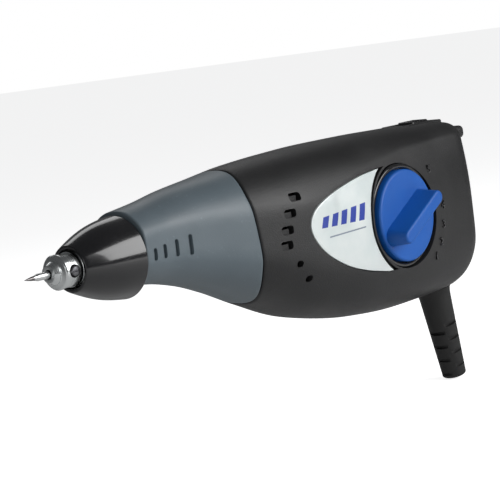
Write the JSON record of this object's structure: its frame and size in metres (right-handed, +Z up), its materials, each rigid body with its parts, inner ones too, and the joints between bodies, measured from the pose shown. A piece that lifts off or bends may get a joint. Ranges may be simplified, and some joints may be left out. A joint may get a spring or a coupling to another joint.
{
  "type": "electric engraving tool",
  "caption": "Corded hand-held electric engraver with a reciprocating carbide point, grey grip sleeve, black shell housing, blue stroke dial and ribbed cord strain relief.",
  "frame": {"origin": "centre of the tool's bounding box", "axes": "+X along the hammer axis from the point to the rear, +Z up, -Y towards the stroke dial"},
  "size_m": [0.1914, 0.0534, 0.0889],
  "materials": {
    "black_plastic": "fine moulded texture",
    "gloss_black": "gloss",
    "grey_plastic": "satin",
    "blue_plastic": "satin gloss",
    "label": "printed film",
    "rubber": "matt",
    "steel": "turned, bright",
    "dark_steel": "blackened",
    "carbide": "ground",
    "bronze": "sintered",
    "copper": "enamelled wire",
    "nylon": "natural nylon",
    "felt": "felt",
    "wire": "insulation"
  },
  "bodies": {
    "housing": {"housing_left": "black_plastic", "housing_right": "black_plastic", "grip_sleeve": "grey_plastic", "nose_cone": "gloss_black", "front_bush": "bronze", "dust_seal": "felt", "bulkhead": "black_plastic", "rear_bush": "bronze", "front_bumper": "rubber", "core_stack": "dark_steel", "coil_bobbin": "nylon", "coil_winding": "copper", "core_screw_1": "steel", "core_screw_2": "steel", "core_pad_top": "rubber", "core_pad_bottom": "rubber", "dial_bezel": "gloss_black", "detent_washer": "steel", "stop_guide": "black_plastic", "guide_screw_1": "steel", "guide_screw_2": "steel", "label_plate": "label", "switch_body": "nylon", "strain_relief": "rubber", "cord_clamp": "nylon", "cord_clamp_screw_1": "steel", "cord_clamp_screw_2": "steel", "terminal_block": "nylon", "terminal_screw_1": "steel", "terminal_screw_2": "steel", "switch_lead": "wire", "coil_lead_supply": "wire", "coil_lead_return": "wire", "housing_screw_1": "steel", "housing_screw_2": "steel", "housing_screw_3": "steel", "housing_screw_4": "steel"},
    "hammer": {"hammer_shaft": "steel", "point_chuck": "steel", "armature": "dark_steel", "retaining_clip": "steel", "return_spring": "steel"},
    "clamp_screw": {"clamp_screw": "dark_steel"},
    "point": {"engraving_point": "carbide"},
    "dial": {"stroke_dial": "blue_plastic", "dial_shaft": "nylon"},
    "stop": {"stop_slide": "nylon"},
    "switch": {"power_switch": "black_plastic"}
  },
  "joints": [
    {"name": "hammer_slide", "type": "slide", "parent": "housing", "child": "hammer", "axis": [1, 0, 0], "range_m": [0, 0.0008], "stiffness_N_per_m": 900, "springref_m": -0.0012, "deforming": ["return_spring"]},
    {"name": "clamp_screw_turn", "type": "hinge", "parent": "hammer", "child": "clamp_screw", "pos_m": [-0.0814, 0.004, 0.0233], "axis": [0, -1, 0], "range_deg": [0, 360]},
    {"name": "point_slide", "type": "slide", "parent": "hammer", "child": "point", "axis": [-1, 0, 0], "range_m": [0, 0.02]},
    {"name": "dial_turn", "type": "hinge", "parent": "housing", "child": "dial", "pos_m": [0.0461, -0.019, 0.0176], "axis": [0.0349, -0.9994, 0], "range_deg": [-77, 7]},
    {"name": "stop_travel", "type": "slide", "parent": "housing", "child": "stop", "axis": [1, 0, 0], "range_m": [-0.00098, 0.0001]},
    {"name": "power_slide", "type": "slide", "parent": "housing", "child": "switch", "axis": [-1, 0, 0], "range_m": [0, 0.004]}
  ],
  "couplings": [
    {"joint": "stop_travel", "follows": "dial_turn", "m_per_rad": 0.00072}
  ]
}
